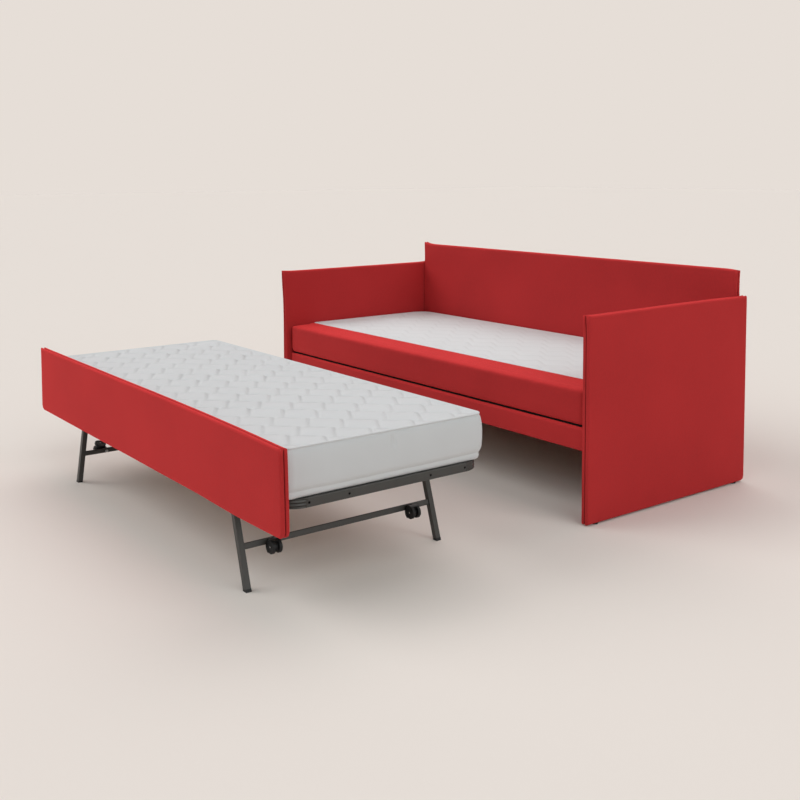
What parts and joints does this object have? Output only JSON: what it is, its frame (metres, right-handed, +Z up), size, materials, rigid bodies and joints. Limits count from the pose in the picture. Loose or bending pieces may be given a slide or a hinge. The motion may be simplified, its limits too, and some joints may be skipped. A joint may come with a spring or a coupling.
{
  "type": "daybed with pull-out bed",
  "caption": "Upholstered daybed with padded sides, back and bolster, and a raised pull-out bed on folding splayed legs with swivel casters.",
  "frame": {"origin": "middle of the bounding box at the floor", "axes": "+X to the right end, +Y from the pulled-out bed to the sofa's back, +Z up"},
  "size_m": [2.172, 2.304, 0.885],
  "materials": {
    "red_fabric": "matte woven upholstery",
    "mattress_ticking": "quilted knitted ticking",
    "board": "raw board",
    "slat_wood": "satin lacquered beech ply",
    "frame_steel": "satin grey powder coat",
    "zinc_steel": "zinc plated",
    "black_plastic": "moulded, satin"
  },
  "bodies": {
    "sofa": {"left_side_board": "board", "right_side_board": "board", "left_side_cover": "red_fabric", "right_side_cover": "red_fabric", "back_board": "board", "back_cover": "red_fabric", "front_rail_board": "board", "front_rail_cover": "red_fabric", "joint_bolts": "zinc_steel", "barrel_nuts": "zinc_steel", "floor_glides": "black_plastic", "bolster": "red_fabric", "bolster_board": "board", "bolster_blocks": "board", "main_mattress": "mattress_ticking", "seat_front_tube": "frame_steel", "seat_rear_tube": "frame_steel", "seat_end_tubes": "frame_steel", "seat_slats": "slat_wood", "seat_slat_caps": "black_plastic", "seat_brackets": "frame_steel", "seat_screws": "zinc_steel"},
    "pull_out_bed": {"bed_rail_near": "frame_steel", "bed_rail_far": "frame_steel", "bed_rail_front": "frame_steel", "bed_rail_back": "frame_steel", "bed_corners": "frame_steel", "bed_cross_bars": "frame_steel", "bed_slats": "slat_wood", "bed_slat_caps": "black_plastic", "bed_mattress": "mattress_ticking", "bed_panel_board": "board", "bed_panel_cover": "red_fabric", "panel_lugs": "frame_steel", "panel_screws": "zinc_steel", "leg_brackets": "frame_steel", "pivot_bolts": "zinc_steel", "pivot_nuts": "zinc_steel"},
    "near_leg_frame": {"near_leg_front": "frame_steel", "near_leg_back": "frame_steel", "near_crossbar": "frame_steel", "near_foot_caps": "black_plastic", "near_caster_bolts": "zinc_steel"},
    "far_leg_frame": {"far_leg_front": "frame_steel", "far_leg_back": "frame_steel", "far_crossbar": "frame_steel", "far_foot_caps": "black_plastic", "far_caster_bolts": "zinc_steel"},
    "near_front_caster": {"near_front_hood": "black_plastic"},
    "near_front_wheel_pair": {"near_front_wheels": "black_plastic", "near_front_axle": "zinc_steel"},
    "near_back_caster": {"near_back_hood": "black_plastic"},
    "near_back_wheel_pair": {"near_back_wheels": "black_plastic", "near_back_axle": "zinc_steel"},
    "far_front_caster": {"far_front_hood": "black_plastic"},
    "far_front_wheel_pair": {"far_front_wheels": "black_plastic", "far_front_axle": "zinc_steel"},
    "far_back_caster": {"far_back_hood": "black_plastic"},
    "far_back_wheel_pair": {"far_back_wheels": "black_plastic", "far_back_axle": "zinc_steel"}
  },
  "joints": [
    {"name": "bed_roll", "type": "slide", "parent": "sofa", "child": "pull_out_bed", "axis": [0, 1, 0], "range_m": [-0.4, 0.485]},
    {"name": "near_leg_fold", "type": "hinge", "parent": "pull_out_bed", "child": "near_leg_frame", "pos_m": [0.68973, -0.71, 0.299], "axis": [0, 1, 0], "range_deg": [0, 107.5]},
    {"name": "far_leg_fold", "type": "hinge", "parent": "pull_out_bed", "child": "far_leg_frame", "pos_m": [-0.54173, -0.71, 0.299], "axis": [0, -1, 0], "range_deg": [0, 107.5]},
    {"name": "near_front_swivel", "type": "hinge", "parent": "near_leg_frame", "child": "near_front_caster", "pos_m": [0.74364, -0.99, 0.128], "axis": [0.9537, 0, 0.3007], "continuous": true},
    {"name": "near_front_wheel_spin", "type": "hinge", "parent": "near_front_caster", "child": "near_front_wheel_pair", "pos_m": [0.77892, -0.99, 0.1192], "axis": [0, 1, 0], "continuous": true},
    {"name": "near_back_swivel", "type": "hinge", "parent": "near_leg_frame", "child": "near_back_caster", "pos_m": [0.74364, -0.43, 0.128], "axis": [0.9537, 0, 0.3007], "continuous": true},
    {"name": "near_back_wheel_spin", "type": "hinge", "parent": "near_back_caster", "child": "near_back_wheel_pair", "pos_m": [0.77892, -0.43, 0.1192], "axis": [0, 1, 0], "continuous": true},
    {"name": "far_front_swivel", "type": "hinge", "parent": "far_leg_frame", "child": "far_front_caster", "pos_m": [-0.59564, -0.99, 0.128], "axis": [-0.9537, 0, 0.3007], "continuous": true},
    {"name": "far_front_wheel_spin", "type": "hinge", "parent": "far_front_caster", "child": "far_front_wheel_pair", "pos_m": [-0.62421, -1.00871, 0.14047], "axis": [0.2961, 0.1736, 0.9392], "continuous": true},
    {"name": "far_back_swivel", "type": "hinge", "parent": "far_leg_frame", "child": "far_back_caster", "pos_m": [-0.59564, -0.43, 0.128], "axis": [-0.9537, 0, 0.3007], "continuous": true},
    {"name": "far_back_wheel_spin", "type": "hinge", "parent": "far_back_caster", "child": "far_back_wheel_pair", "pos_m": [-0.63092, -0.43, 0.1192], "axis": [0, 1, 0], "continuous": true}
  ]
}
